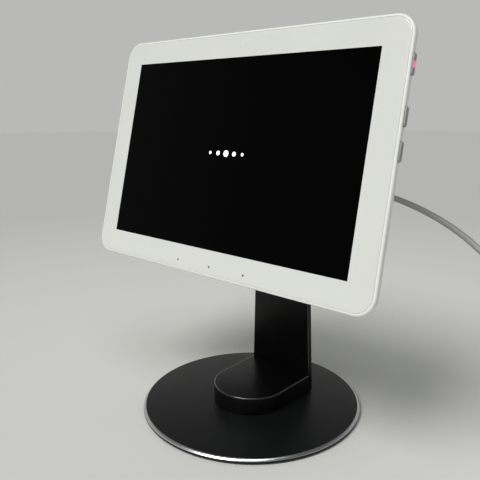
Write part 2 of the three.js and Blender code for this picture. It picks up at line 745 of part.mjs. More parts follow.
// The tilting half of the hinge: a plate on the rear cover, two ears, the pin and its nut.
function makeBracket(unit) {
  const front = UNIT_DEPTH + FIT;
  const back = front + PLATE.thick;
  const earInside = BARREL_WIDTH / 2 + FRICTION_WASHER + 3 * SEAT;
  const earOutside = earInside + EAR;
  const pivot = [pivotDepth, 0];
  const web = pivotDepth - front - PLATE.thick / 2;
  const ears = [-1, 1].flatMap((side) => {
    const [from, to] = side > 0 ? [earInside, earOutside] : [-earOutside, -earInside];
    return [
      bar(BARREL_RADIUS, X, from, to, pivot),
      block(EAR, web, 2 * BARREL_RADIUS, (from + to) / 2, pivotDepth - web / 2, 0),
    ];
  });
  const holes = plateScrews.map(([x, z]) =>
    bar(SMALL_SCREW.shank + FIT, Y, 0, pivotDepth, [x, z], FINE),
  );
  add(
    unit,
    "tilt_bracket",
    SATIN_BLACK,
    cut(
      join(panel(roundedOutline(PLATE.width, PLATE.height, PLATE.corner), front, back), ...ears),
      bar(PIN_RADIUS + SEAT, X, -2 * earOutside, 2 * earOutside, pivot),
      ...holes,
    ),
  );
  for (const [x, z, name] of plateScrews)
    add(
      unit,
      `bracket_screw_${name}`,
      PLATED_STEEL,
      rearScrew(SMALL_SCREW, x, z, back + SEAT, bossFront + 0.4),
    );
  const seat = earOutside + SEAT;
  const headEnd = -seat - PIN_HEAD.thick;
  add(
    unit,
    "hinge_pin",
    PLATED_STEEL,
    cut(
      join(
        bar(PIN_RADIUS, X, -seat - 0.5, seat + NUT.thick + 0.8, pivot),
        bar(PIN_HEAD.radius, X, headEnd, -seat, pivot),
      ),
      bar(2, X, headEnd - 1, headEnd + 1.2, pivot, 6),
    ),
  );
  add(
    unit,
    "hinge_nut",
    PLATED_STEEL,
    cut(
      bar(NUT.radius, X, seat, seat + NUT.thick, pivot, 6),
      bar(PIN_RADIUS + SEAT, X, 0, 2 * seat, pivot),
    ),
  );
}

// ---- Cord ----
// A tube of the lead along points, flat at both ends.
function lead(points, steps) {
  const sides = 8;
  const section = Array.from({ length: sides }, (_, i) => {
    const angle = (2 * Math.PI * i) / sides;
    return new THREE.Vector2(CORD_RADIUS * Math.cos(angle), CORD_RADIUS * Math.sin(angle));
  });
  return new THREE.ExtrudeGeometry(new THREE.Shape(section), {
    steps,
    bevelEnabled: false,
    extrudePath: new THREE.CatmullRomCurve3(points.map((p) => new THREE.Vector3(...p))),
  });
}

// From the plug's relief out to the right, then down on to the coil.
const LEAD_ROUTE = [
  [42, 19.86, 136.21],
  [42, 23.3, 135.4],
  [42.6, 29, 134],
  [44.6, 34.8, 132.6],
  [49, 40.2, 131.4],
  [55.5, 43.8, 130.4],
  [62.5, 45, 129.3],
  [72, 45, 127.2],
  [82, 45, 124.2],
  [92, 45, 120.4],
  [102, 45, 115.6],
  [110, 45, 110.8],
  [117, 45, 105.6],
  [124.5, 45, 98.6],
  [130.6, 45.2, 90],
  [135.2, 45.8, 80],
  [138.4, 46.8, 69],
  [140.6, 48, 57.5],
  [142.4, 49.4, 46],
  [144.6, 50.8, 35],
  [148.2, 52.1, 25.2],
  [153, 52.9, 18.6],
];

// From the coil's lowest turn along the desk to the adapter's relief.
const TAIL_ROUTE = [
  [146, 54.4, 2.4],
  [148.2, 48.6, 3.1],
  [150, 43.4, 4.7],
  [151.3, 38.8, 6.15],
  [151.85, 36.1, 6.8],
  [152, 33.7, 7],
];

// A tapered sleeve round the lead, from a housing's face towards +Y.
const sleeve = (x, face, z) =>
  turned(
    [
      [0, 0],
      [RELIEF.radius, 0],
      [CORD_RADIUS + 0.35, RELIEF.length],
      [0, RELIEF.length],
    ],
    FINE,
  )
    .rotateX(-Math.PI / 2)
    .translate(x, face + FIT, z);

function makePlug(unit) {
  const from = UNIT_DEPTH + FIT;
  const to = from + PLUG.length;
  const section = (inset) =>
    roundedOutline(PLUG.width - 2 * inset, PLUG.height - 2 * inset, 2.6 - inset, PORT.x, PORT.z);
  const gap = PORT.wall + 0.15;
  const tongue = roundedOutline(PORT.width - 2 * gap, PORT.height - 2 * gap, 1.1, PORT.x, PORT.z);
  const body = lofted([
    [section(0.4), from],
    [section(0), from + 0.6],
    [section(0), to - 2.5],
    [section(0.6), to],
  ]);
  add(unit, "cord_plug", WHITE_LEAD, join(body, panel(tongue, from - PLUG.tongue, from + 1)));
  add(unit, "cord_relief", WHITE_LEAD, sleeve(PORT.x, to, PORT.z));
}

function makeCoil(cord) {
  const half = (COIL.across * CORD_PITCH) / 2;
  const height = COIL.up * CORD_PITCH;
  const ring = collar(COIL.middle - half, COIL.middle + half, COIL.lift, COIL.lift + height, 36);
  add(cord, "cord_coil", WHITE_LEAD, ring.translate(COIL.x, COIL.y, 0));
  const inner = [2 * (half + TIE.gap) + 0.3, height + 2 * TIE.gap];
  const outer = inner.map((size) => size + 2 * TIE.thick);
  const middle = COIL.lift + height / 2;
  const strap = cut(
    block(outer[0], TIE.wide, outer[1], COIL.middle, 0, middle),
    block(inner[0], TIE.wide + 2, inner[1], COIL.middle, 0, middle),
  );
  strap.rotateZ(Math.PI / 4).translate(COIL.x, COIL.y, 0);
  add(cord, "cord_tie", MATT_BLACK, strap);
}

function makeAdapter(cord) {
  const { x, y, width, length, height, corner } = ADAPTER;
  const [front, back] = [y - length / 2, y + length / 2];
  const face = (inset) =>
    roundedOutline(width - 2 * inset, height - 2 * inset, corner - inset, x, height / 2);
  const body = lofted([
    [face(2), front],
    [face(0.6), front + 0.6],
    [face(0), front + 2],
    [face(0), back - 2],
    [face(0.6), back - 0.6],
    [face(2), back],
  ]);
  const prongs = [[-1, "left"], [1, "right"]];
  const prong = (side, grow) =>
    block(
      PRONG.thick + 2 * grow,
      PRONG.out + PRONG.in,
      PRONG.high + 2 * grow,
      x + (side * PRONG.apart) / 2,
      front + (PRONG.in - PRONG.out) / 2 + grow,
      height / 2,
    );
  const sockets = prongs.map(([side]) => prong(side, SEAT));
  add(cord, "adapter_body", WHITE_LEAD, cut(body, ...sockets));
  for (const [side, name] of prongs)
    add(cord, `adapter_prong_${name}`, PLATED_STEEL, prong(side, 0));
  add(cord, "adapter_relief", WHITE_LEAD, sleeve(OUTLET.x, back, OUTLET.z));
}

// ---- Assembly ----
const stand = new THREE.Group();
makeFoot(stand);
makeColumn(stand);
makeHingeArm(stand);

const unit = new THREE.Group();
unit.position.y = -pivotDepth;
makeFront(unit);
makeCover(unit);
makeElectronics(unit);
makeButtons(unit);
makeBracket(unit);
makePlug(unit);

const tilted = new THREE.Group().add(unit);
tilted.rotation.x = -THREE.MathUtils.degToRad(TILT);
tilted.position.set(0, PIVOT_Y, PIVOT_Z);

const cord = new THREE.Group();
add(cord, "cord_lead", WHITE_LEAD, lead(LEAD_ROUTE, 78));
makeCoil(cord);
add(cord, "cord_tail", WHITE_LEAD, lead(TAIL_ROUTE, 8));
makeAdapter(cord);

root.add(makeBase(), stand, tilted, cord);
export default root;
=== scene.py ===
import json
import math

import bmesh
import bpy
import numpy as np
from mathutils import Matrix, Vector

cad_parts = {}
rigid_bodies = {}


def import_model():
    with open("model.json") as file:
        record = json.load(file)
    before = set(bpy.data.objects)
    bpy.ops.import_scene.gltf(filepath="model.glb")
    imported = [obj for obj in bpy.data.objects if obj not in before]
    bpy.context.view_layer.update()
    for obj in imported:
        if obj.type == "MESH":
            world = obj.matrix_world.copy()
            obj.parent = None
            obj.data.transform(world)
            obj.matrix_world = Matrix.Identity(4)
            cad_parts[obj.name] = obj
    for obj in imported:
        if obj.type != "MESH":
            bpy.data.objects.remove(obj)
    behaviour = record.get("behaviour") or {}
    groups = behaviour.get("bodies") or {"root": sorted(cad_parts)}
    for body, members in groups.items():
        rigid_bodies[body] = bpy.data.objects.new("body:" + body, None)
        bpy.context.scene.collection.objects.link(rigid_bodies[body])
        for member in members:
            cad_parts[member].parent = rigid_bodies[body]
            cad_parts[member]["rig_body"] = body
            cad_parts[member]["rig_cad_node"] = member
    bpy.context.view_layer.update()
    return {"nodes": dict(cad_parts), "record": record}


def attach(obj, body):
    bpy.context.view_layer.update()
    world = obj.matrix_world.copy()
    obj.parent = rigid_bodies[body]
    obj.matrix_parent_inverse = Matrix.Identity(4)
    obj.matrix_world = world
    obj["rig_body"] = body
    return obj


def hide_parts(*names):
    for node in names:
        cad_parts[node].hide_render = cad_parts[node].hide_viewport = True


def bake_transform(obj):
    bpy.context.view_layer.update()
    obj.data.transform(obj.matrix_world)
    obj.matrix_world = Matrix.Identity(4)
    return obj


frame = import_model()

MM = 0.001


# ---- Camera ----
# A 44 mm lens looking down a little from the front right, far enough to the right that the unit's
# button side shows.
CAMERA_AT = (0.21951, -0.25281, 0.18023)
CAMERA_RIGHT = (0.74297, 0.66931, -0.00520)
CAMERA_DOWN = (0.10304, -0.12206, -0.98716)
CAMERA_FORWARD = (-0.66135, 0.73289, -0.15966)

camera = bpy.data.objects.new("camera", bpy.data.cameras.new("camera"))
camera.data.sensor_width = 36
camera.data.lens = 43.637
camera.data.shift_y = -0.0845
axes = np.array([CAMERA_RIGHT, np.negative(CAMERA_DOWN), np.negative(CAMERA_FORWARD)]).T
camera.matrix_world = Matrix.Translation(CAMERA_AT) @ Matrix(axes.tolist()).to_4x4()
bpy.context.scene.collection.objects.link(camera)
bpy.context.scene.camera = camera


# ---- Power cord ----
# A round lead, 3.4 mm thick and 1.5 m long: two insulated copper cores in soft white PVC with a
# satin skin. It leaves the plug's relief, bends round to the right and comes down on to its own
# neat coil, which holds what the desk doesn't need, and ends in the adapter's relief.
CORD_RADIUS = 1.7
CORD_PITCH = 3.45
CORD_STEP = 2.0
COIL_MIDDLE = (163.0, 76.0)
COIL_RADIUS = 20.0
COIL_LIFT = 0.9
# The free run, from the plug's sleeve to the coil, and the tail from the coil to the adapter.
LEAD_ROUTE = [
    (42, 19.86, 136.21),
    (42, 23.3, 135.4),
    (42.6, 29, 134),
    (44.6, 34.8, 132.6),
    (49, 40.2, 131.4),
    (55.5, 43.8, 130.4),
    (62.5, 45, 129.3),
    (72, 45, 127.2),
    (82, 45, 124.2),
    (92, 45, 120.4),
    (102, 45, 115.6),
    (110, 45, 110.8),
    (117, 45, 105.6),
    (124.5, 45, 98.6),
    (130.6, 45.2, 90),
    (135.2, 45.8, 80),
    (138.4, 46.8, 69),
    (140.6, 48, 57.5),
    (142.4, 49.4, 46),
    (144.6, 50.8, 35),
    (148.2, 52.1, 25.2),
    (153, 52.9, 18.6),
]
TAIL_ROUTE = [
    (146, 54.4, 2.4),
    (148.2, 48.6, 3.1),
    (150, 43.4, 4.7),
    (151.3, 38.8, 6.15),
    (151.85, 36.1, 6.8),
    (152, 33.7, 7),
]
# The winding starts in the top row's outer column. Each move is (start, length, columns, rows):
# over that many degrees it passes one column or one row on.
COIL_START = -90
COIL_DEGREES = 3530
DEGREES_A_POINT = 6
COIL_MOVES = [
    (240, 120, -1, 0),
    (600, 120, -1, 0),
    (850, 110, 0, -1),
    (1090, 120, 1, 0),
    (1450, 120, 1, 0),
    (1740, 70, 0, -1),
    (1980, 120, -1, 0),
    (2340, 120, -1, 0),
    (2590, 110, 0, -1),
    (2830, 120, 1, 0),
    (3190, 120, 1, 0),
]


def eased(t):
    """A share from 0 to 1 that starts and ends level: 3 t squared less 2 t cubed."""
    t = np.clip(t, 0, 1)
    return t * t * (3 - 2 * t)


def coil_points():
    """The winding: the angle runs on evenly, and each move changes the radius or the height by
    one pitch, eased over its part of a turn."""
    angle = np.linspace(0, COIL_DEGREES, COIL_DEGREES // DEGREES_A_POINT)
    column, row = np.full_like(angle, 1), np.full_like(angle, 3)
    for start, length, columns, rows in COIL_MOVES:
        share = eased((angle - start) / length)
        column += columns * share
        row += rows * share
    radius = COIL_RADIUS + column * CORD_PITCH
    turned = np.radians(COIL_START + angle)
    return np.column_stack(
        [
            COIL_MIDDLE[0] + radius * np.cos(turned),
            COIL_MIDDLE[1] + radius * np.sin(turned),
            COIL_LIFT + (row + 0.5) * CORD_PITCH,
        ]
    )


def smooth_line(points, step):
    """A cubic through the points, with each point's direction half way between its neighbours
    by distance, cut into equal steps of about the given length."""
    points = np.array(points, float)
    spans = np.linalg.norm(np.diff(points, axis=0), axis=1)
    at = np.concatenate([[0], np.cumsum(spans)])
    slopes = np.gradient(points, at, axis=0)
    s = np.linspace(0, at[-1], int(at[-1] / step) + 1)
    i = np.clip(np.searchsorted(at, s, side="right") - 1, 0, len(spans) - 1)
    h = spans[i]
    t = (s - at[i]) / h
    t, h = t[:, None], h[:, None]
    return (
        (2 * t**3 - 3 * t**2 + 1) * points[i]
        + (t**3 - 2 * t**2 + t) * h * slopes[i]
        + (3 * t**2 - 2 * t**3) * points[i + 1]
        + (t**3 - t**2) * h * slopes[i + 1]
    )


def add_node(material, kind, inputs=None, **settings):
    """A shader node with its settings; each input is linked where the value is a socket."""
    made = material.node_tree.nodes.new(kind)
    for name, value in settings.items():
        setattr(made, name, value)
    for socket, value in (inputs or {}).items():
        if isinstance(value, bpy.types.NodeSocket):
            material.node_tree.links.new(value, made.inputs[socket])
        else:
            made.inputs[socket].default_value = value
    return made


def colour(code):
    """An sRGB hex value as linear RGBA: each channel over 12.92 where it is dark, and otherwise
    raised to the power 2.4."""
    share = np.array([int(code[i : i + 2], 16) for i in (1, 3, 5)]) / 255
    linear = np.where(share <= 0.04045, share / 12.92, ((share + 0.055) / 1.055) ** 2.4)
    return (*linear.tolist(), 1.0)


def new_finish(name, **own):
    """A material and its one shader, with the values that are the same all over."""
    material = bpy.data.materials.new(name)
    material.use_nodes = True
    shader = material.node_tree.nodes["Principled BSDF"]
    for socket, value in own.items():
        shader.inputs[socket.replace("_", " ")].default_value = value
    return material, shader


def plug_in(material, shader, **outputs):
    """Links outputs to the shader's sockets by name."""
    for socket, output in outputs.items():
        material.node_tree.links.new(output, shader.inputs[socket.replace("_", " ")])


def grained(name, light, dark, grain, relief, roughness, patch=22.0, **own):
    """A moulded, coated or rolled skin: patches of patch mm mix its two close colours and carry
    the roughness between its two values, and grains of grain mm stand relief mm high."""
    material, shader = new_finish(name, **own)
    place = add_node(material, "ShaderNodeTexCoord").outputs["Object"]
    inputs = {"Vector": place, "Scale": 1000 / patch, "Detail": 4.0, "Roughness": 0.6}
    patches = add_node(material, "ShaderNodeTexNoise", inputs).outputs["Fac"]
    inputs = {"Value": patches, "From Min": 0.3, "From Max": 0.7}
    spread = add_node(material, "ShaderNodeMapRange", inputs).outputs["Result"]
    inputs = {"Factor": spread, 6: colour(light), 7: colour(dark)}
    mixed = add_node(material, "ShaderNodeMix", inputs, data_type="RGBA").outputs[2]
    inputs = {"Value": spread, "To Min": roughness[0], "To Max": roughness[1]}
    gloss = add_node(material, "ShaderNodeMapRange", inputs).outputs["Result"]
    inputs = {"Vector": place, "Scale": 1000 / grain, "Detail": 1.0}
    grains = add_node(material, "ShaderNodeTexNoise", inputs).outputs["Fac"]
    inputs = {"Height": grains, "Distance": relief * MM, "Strength": 1.0}
    raised = add_node(material, "ShaderNodeBump", inputs).outputs["Normal"]
    plug_in(material, shader, Base_Color=mixed, Roughness=gloss, Normal=raised)
    return material


CREASE = math.radians(38)


def solid_piece(name, vertices, faces, *materials):
    """A piece from points in millimetres, smooth but for creases, and turned inside out if its
    volume, a third of the sum of each face's middle times its area vector, is negative."""
    mesh = bpy.data.meshes.new(name)
    mesh.from_pydata((np.asarray(vertices) * MM).tolist(), [], faces)
    count = len(mesh.polygons)
    middles, normals, areas = np.empty(count * 3), np.empty(count * 3), np.empty(count)
    mesh.polygons.foreach_get("center", middles)
    mesh.polygons.foreach_get("normal", normals)
    mesh.polygons.foreach_get("area", areas)
    if (middles * normals).reshape(-1, 3).sum(1) @ areas < 0:
        mesh.flip_normals()
    mesh.polygons.foreach_set("use_smooth", np.ones(count, bool))
    mesh.set_sharp_from_angle(angle=CREASE)
    for material in materials:
        mesh.materials.append(material)
    piece = bpy.data.objects.new(name, mesh)
    bpy.context.scene.collection.objects.link(piece)
    return piece


def ring_quads(rings, points, closed):
    """Faces between neighbouring rings: point and ring numbers step by one, modulo their counts."""
    ring = np.arange(rings if closed else rings - 1)[:, None]
    point = np.arange(points)[None]
    after, beside = (ring + 1) % rings, (point + 1) % points
    corners = [ring * points + point, ring * points + beside]
    corners += [after * points + beside, after * points + point]
    return np.stack(corners, -1).reshape(-1, 4).tolist()


def skinned(name, rings, *materials, closed=False):
    """A skin through rings of points, rings by points by xyz. Its ends are flat faces, or are
    joined to each other where it is closed."""
    rings = np.asarray(rings, float)
    count, points = rings.shape[:2]
    faces = ring_quads(count, points, closed)
    if not closed:
        faces.append(list(range(points))[::-1])
        faces.append(list(range((count - 1) * points, count * points)))
    return solid_piece(name, rings.reshape(-1, 3), faces, *materials)


def tube_rings(line, radius, sides=14):
    """A round tube: at each point of the line, a circle square to its direction. Each circle's
    axes are the last one's, less what the new direction takes of them, so nothing twists."""
    along = np.gradient(line, axis=0)
    along /= np.linalg.norm(along, axis=1)[:, None]
    side = np.cross(along[0], (0.0, 0.0, 1.0))
    sideways = []
    for direction in along:
        side = side - (side @ direction) * direction
        side /= np.linalg.norm(side)
        sideways.append(side)
    sideways = np.array(sideways)
    upward = np.cross(along, sideways)
    angle = np.linspace(0, 2 * math.pi, sides, endpoint=False)
    round_it = np.cos(angle)[:, None] * sideways[:, None] + np.sin(angle)[:, None] * upward[:, None]
    return line[:, None] + radius * round_it


# Soft PVC over copper: white, coloured pale grey all over as painted shade for the shadow the lead
# lies in, satin, with a faint uneven grain from the extruder.
shade_greyed_lead_jacket = grained(
    "white_pvc_lead_painted_shade", "#a9abaa", "#9b9d9c", grain=1.1, relief=0.02, roughness=(0.34, 0.46),
    patch=30, IOR=1.52,
)
# The winding's end points are left out, so that the lead runs into it and out of it smoothly.
cord_line = smooth_line([*LEAD_ROUTE, *coil_points()[2:-1], *TAIL_ROUTE], CORD_STEP)
cord = skinned("power_cord", tube_rings(cord_line, CORD_RADIUS), shade_greyed_lead_jacket)
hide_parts("cord_lead", "cord_coil", "cord_tail")
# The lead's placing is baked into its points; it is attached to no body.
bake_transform(cord)


# ---- Base disc and its pad ----
# A 131 mm plate of steel, laser cut, powder coated satin black, with its upper edge then turned to
# a bare bright chamfer. A rubber pad is stuck under it. The bush for the swivel is pressed in it.
DISC_RADIUS = 65.5
DISC_LOW, DISC_TOP = 0.9, 3.2
DISC_CHAMFER = 1.1
DISC_SIDES = 192
EDGE_UNDER = [(0.35, 0.0), (0.1, 0.1), (0.0, 0.35)]
CREST_DROP = 0.14
CREST = [(0.2, 0.06), (0.4, 0.02), (0.5, 0.0)]
TOOL_BULGE = 0.04


def circle(radius, height, count=DISC_SIDES):
    """Points round Z: the cosine and the sine of the angle, times the radius."""
    angle = np.linspace(0, 2 * math.pi, count, endpoint=False)
    return np.column_stack([radius * np.cos(angle), radius * np.sin(angle), np.full(count, height)])


def chamfer_section():
    """(radius, height) up the disc's edge: eased underneath, then straight, then the chamfer at
    45 degrees, which bulges as a turning tool leaves it by four times the bulge times the share
    times what is left of it, and a low crest that meets the flat."""
    edge = [(DISC_RADIUS - inset, DISC_LOW + rise) for inset, rise in EDGE_UNDER]
    low, leg = DISC_TOP - DISC_CHAMFER, DISC_CHAMFER - CREST_DROP
    edge.append((DISC_RADIUS, low))
    share = np.linspace(0, 1, 6)[1:]
    bulge = 4 * TOOL_BULGE * share * (1 - share)
    edge += [(DISC_RADIUS - leg * s + b, low + leg * s + b) for s, b in zip(share, bulge)]
    return edge + [(DISC_RADIUS - leg - inset, DISC_TOP - drop) for inset, drop in CREST]


def finish_bands(piece, points, bands):
    """Gives the piece's second material to some bands of its skin: band b holds the faces from b
    times the points in a ring to the next band's first."""
    index = np.zeros(len(piece.data.polygons), np.int32)
    for band in bands:
        index[band * points : (band + 1) * points] = 1
    piece.data.polygons.foreach_set("material_index", index)


# Powder coat on flat steel: fine orange peel 1.4 mm across, and a little dust, in specks about a
# millimetre apart, that greys it.
def coated_black(name, light, dark, roughness, gloss=0.24):
    """Satin black powder coat: the grained skin, with dust where a fine noise peaks."""
    material = grained(
        name, light, dark, grain=1.4, relief=0.012, roughness=roughness, patch=40, IOR=1.5,
        Specular_IOR_Level=gloss,
    )
    shader = material.node_tree.nodes["Principled BSDF"]
    place = add_node(material, "ShaderNodeTexCoord").outputs["Object"]
    inputs = {"Vector": place, "Scale": 900.0, "Detail": 2.0}
    specks = add_node(material, "ShaderNodeTexNoise", inputs).outputs["Fac"]
    inputs = {"Value": specks, "From Min": 0.68, "From Max": 0.8, "To Max": 0.16}
    dusty = add_node(material, "ShaderNodeMapRange", inputs).outputs["Result"]
    coat = shader.inputs["Base Color"].links[0].from_socket
    inputs = {"Factor": dusty, 6: coat, 7: colour("#6f706c")}
    dusted = add_node(material, "ShaderNodeMix", inputs, data_type="RGBA").outputs[2]
    plug_in(material, shader, Base_Color=dusted)
    return material


# Bare turned steel: fine rings round the disc's axis. The wave turns 20 radians in one unit, so
# this scale draws them half a millimetre apart, coarser than the tool leaves them, so they show.
TURNED_SCALE = 2000 / math.pi


def turned_edge():
    """Bright metal whose roughness and relief run in rings: a wave along the distance from Z."""
    material, shader = new_finish("bare_turned_steel", Metallic=1.0, Base_Color=colour("#cdced0"))
    place = add_node(material, "ShaderNodeTexCoord").outputs["Object"]
    inputs = {"Vector": place, "Scale": TURNED_SCALE, "Distortion": 0.0}
    settings = {"wave_type": "RINGS", "rings_direction": "Z"}
    rings = add_node(material, "ShaderNodeTexWave", inputs, **settings).outputs["Fac"]
    inputs = {"Value": rings, "To Min": 0.16, "To Max": 0.3}
    gloss = add_node(material, "ShaderNodeMapRange", inputs).outputs["Result"]
    inputs = {"Height": rings, "Distance": 0.004 * MM, "Strength": 0.5}
    raised = add_node(material, "ShaderNodeBump", inputs).outputs["Normal"]
    plug_in(material, shader, Roughness=gloss, Normal=raised)
    return material


disc_coat = coated_black("satin_powder_coat", "#0b0c0d", "#0f1011", (0.33, 0.41))
section = chamfer_section()
disc = skinned("disc_plate", [circle(r, z) for r, z in section], disc_coat, turned_edge())
finish_bands(disc, DISC_SIDES, range(len(EDGE_UNDER), len(section) - 1))
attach(disc, "base")
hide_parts("base_disc")


# ---- Foot ----
# A hollow zinc casting in the same coat, its round nose about the swivel's axis and its straight
# sides running back to the column. The upper edge is eased to a radius of under a millimetre.
NOSE_RADIUS = 22.8
FOOT_LOW, FOOT_TOP, FOOT_BACK = 3.5, 13.7, 28.1
FOOT_UNDER, FOOT_EDGE = 0.25, 0.7


def foot_outline(inset, height):
    """Half a circle about Z, less the inset, and straight sides back to the column."""
    angle = np.linspace(math.pi, 2 * math.pi, 65)
    radius = NOSE_RADIUS - inset
    nose = np.column_stack([radius * np.cos(angle), radius * np.sin(angle)])
    outline = np.vstack([nose, [[radius, FOOT_BACK], [-radius, FOOT_BACK]]])
    return np.column_stack([outline, np.full(len(outline), height)])


def eased_edge(radius, steps=5):
    """(inset, drop) over a quarter circle, from the side to the top."""
    angle = np.linspace(0, math.pi / 2, steps)
    return list(zip(radius * (1 - np.cos(angle)), radius * (1 - np.sin(angle))))


foot_rings = [foot_outline(FOOT_UNDER, FOOT_LOW), foot_outline(0, FOOT_LOW + FOOT_UNDER)]
foot_rings += [foot_outline(inset, FOOT_TOP - drop) for inset, drop in eased_edge(FOOT_EDGE)]
foot_coat = coated_black("satin_cast_coat", "#060607", "#09090a", (0.28, 0.36), 0.16)
# On the eased edges the coat is glossier, and lighter in colour as a painted highlight along them.
edge_highlight_coat = grained(
    "painted_highlight_edge_coat", "#1b1b1c", "#141415", grain=0.9, relief=0.003, roughness=(0.16, 0.24),
    patch=9, IOR=1.5, Coat_Weight=0.8, Coat_Roughness=0.14,
)
foot = skinned("foot_casting", foot_rings, foot_coat, edge_highlight_coat)
finish_bands(foot, len(foot_rings[0]), range(2, len(foot_rings) - 1))
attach(foot, "stand")
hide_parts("foot")


# ---- Column ----
# A 3.9 mm steel plate behind the foot, tapered from 46 mm to 37 mm, with rounded upper corners and
# eased long edges. Two screws hold it to the foot and two hold the hinge arm to it.
COLUMN_FRONT, COLUMN_BACK = 28.2, 32.1
COLUMN_FOOT, COLUMN_HEAD = 46.0, 37.0
COLUMN_TOP = 166.5
COLUMN_CORNER = 9.0
COLUMN_EDGE = 0.85
SCREW_WELLS = [(13.0, 8.6), (-13.0, 8.6), (0.0, 157.5), (0.0, 135.5)]
WELL_RADIUS, WELL_FLOOR = 3.2, 30.6


def column_outline(inset, depth):
    """The taper's foot, then the two rounded upper corners, all drawn in by the inset."""
    angle = np.linspace(0, math.pi / 2, 14)
    reach, radius = COLUMN_HEAD / 2 - COLUMN_CORNER, COLUMN_CORNER - inset
    right = np.column_stack([reach + radius * np.cos(angle), radius * np.sin(angle)])
    left = np.column_stack([-reach - radius * np.sin(angle), radius * np.cos(angle)])
    corners = np.vstack([right, left]) + [0, COLUMN_TOP - COLUMN_CORNER]
    half, low = COLUMN_FOOT / 2 - inset, FOOT_LOW + inset / 2
    return np.insert(np.vstack([[[-half, low], [half, low]], corners]), 1, depth, axis=1)


column_rings = [column_outline(i, COLUMN_FRONT + d) for i, d in eased_edge(COLUMN_EDGE)[::-1]]
column_rings += [column_outline(i, COLUMN_BACK - d) for i, d in eased_edge(COLUMN_EDGE)]
# The eased long edges take the lighter coat, a painted highlight.
column = skinned("column_plate", column_rings, foot_coat, edge_highlight_coat)
finish_bands(column, len(column_rings[0]), [1, 2])


def cut_away(piece, *cutters):
    """Takes the cutters' space from the piece, as milling would, and removes them."""
    for cutter in cutters:
        cut = piece.modifiers.new("cut", "BOOLEAN")
        cut.operation, cut.solver, cut.object = "DIFFERENCE", "EXACT", cutter
    shaped = piece.evaluated_get(bpy.context.evaluated_depsgraph_get())
    mesh = bpy.data.meshes.new_from_object(shaped)
    mesh.set_sharp_from_angle(angle=CREASE)
    piece.modifiers.clear()
    piece.data = mesh
    for cutter in cutters:
        bpy.data.objects.remove(cutter)


def round_cutter(x, z, radius, front, back):
    """A rod along Y with 32 sides."""
    angle = np.linspace(0, 2 * math.pi, 32, endpoint=False)
    ring = np.column_stack([x + radius * np.cos(angle), 0 * angle, z + radius * np.sin(angle)])
    return skinned("cutter", [ring + (0, front, 0), ring + (0, back, 0)])


cut_away(column, *[round_cutter(x, z, WELL_RADIUS, WELL_FLOOR, back=40) for x, z in SCREW_WELLS])
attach(column, "stand")
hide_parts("column")


# ---- Hinge ----
# A die-cast arm with a barrel screwed to the column, and a pressed steel bracket with two ears on
# the screen unit, turning on a steel pin with bronze friction washers and a nut that sets the drag.
def edge_eased(node, material, width):
    """A smooth copy of a CAD solid: its loose triangles are merged, flat ones joined into whole
    faces, and each edge sharper than 31 degrees rounded over width mm. Creases over 36 degrees
    stay sharp."""
    piece = frame["nodes"][node].copy()
    piece.data = piece.data.copy()
    piece.name = node + "_finished"
    bpy.context.scene.collection.objects.link(piece)
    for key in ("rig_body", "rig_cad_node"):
        del piece[key]
    piece.parent = None
    shape = bmesh.new()
    shape.from_mesh(piece.data)
    bmesh.ops.remove_doubles(shape, verts=shape.verts, dist=0.002 * MM)
    edges, verts = shape.edges[:], shape.verts[:]
    bmesh.ops.dissolve_limit(shape, angle_limit=math.radians(1), verts=verts, edges=edges)
    sharp = [e for e in shape.edges if e.calc_face_angle(0) > math.radians(31)]
    bmesh.ops.bevel(
        shape, geom=sharp, offset=width * MM, segments=2, profile=0.5, affect="EDGES",
        clamp_overlap=True,
    )
    shape.to_mesh(piece.data)
    shape.free()
    count = len(piece.data.polygons)
    piece.data.polygons.foreach_set("use_smooth", np.ones(count, bool))
    piece.data.set_sharp_from_angle(angle=math.radians(36))
    piece.data.materials.clear()
    piece.data.materials.append(material)
    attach(piece, frame["nodes"][node]["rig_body"])
    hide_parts(node)
    return piece


# Zinc plate on turned steel: bright, a little blue, with a fine uneven bloom in its gloss.
zinc_plate = grained(
    "bright_zinc_plate", "#b4b6b8", "#9da0a3", grain=0.5, relief=0.004, roughness=(0.26, 0.4),
    patch=6, Metallic=1.0,
)
# Sintered bronze, turned and oiled: brown-gold, darker in patches where the oil lies.
turned_bronze = grained(
    "oiled_bronze", "#a07c40", "#8a6a35", grain=0.6, relief=0.004, roughness=(0.3, 0.45), patch=5,
    Metallic=1.0,
)
for name in ("hinge_arm", "tilt_bracket"):
    edge_eased(name, foot_coat, 0.35)
for name in ("hinge_pin", "hinge_nut"):
    edge_eased(name, zinc_plate, 0.25)
for name in ("friction_washer_left", "friction_washer_right"):
    edge_eased(name, turned_bronze, 0.12)
screws = [n for n in frame["nodes"] if "_screw" in n and n != "swivel_screw"]
for name in screws:
    edge_eased(name, zinc_plate, 0.12)


# ---- Front frame ----
# The unit's rim and side wall: injection-moulded white PC/ABS with a fine spark texture. The rim
# rolls over to the glass, a ledge inside carries it, and the right side has slots for the buttons.
UNIT_WIDTH, UNIT_HEIGHT = 202.4, 137.0
CORNER_RADIUS, SMALLEST_RADIUS = 10.5, 0.8
TILT = math.radians(13.4)
PIVOT = (0.0, 11.2, 146.5)
PIVOT_DEPTH = 33.0


def tilted(points):
    """From the unit's own frame, x right, y in from its front, z up: moved to hang behind the
    pivot and turned back about X by the tilt."""
    x, y, z = np.moveaxis(np.asarray(points, float), -1, 0)
    y = y - PIVOT_DEPTH
    back = y * math.cos(TILT) + z * math.sin(TILT)
    up = -y * math.sin(TILT) + z * math.cos(TILT)
    return np.stack([x, back, up], -1) + PIVOT


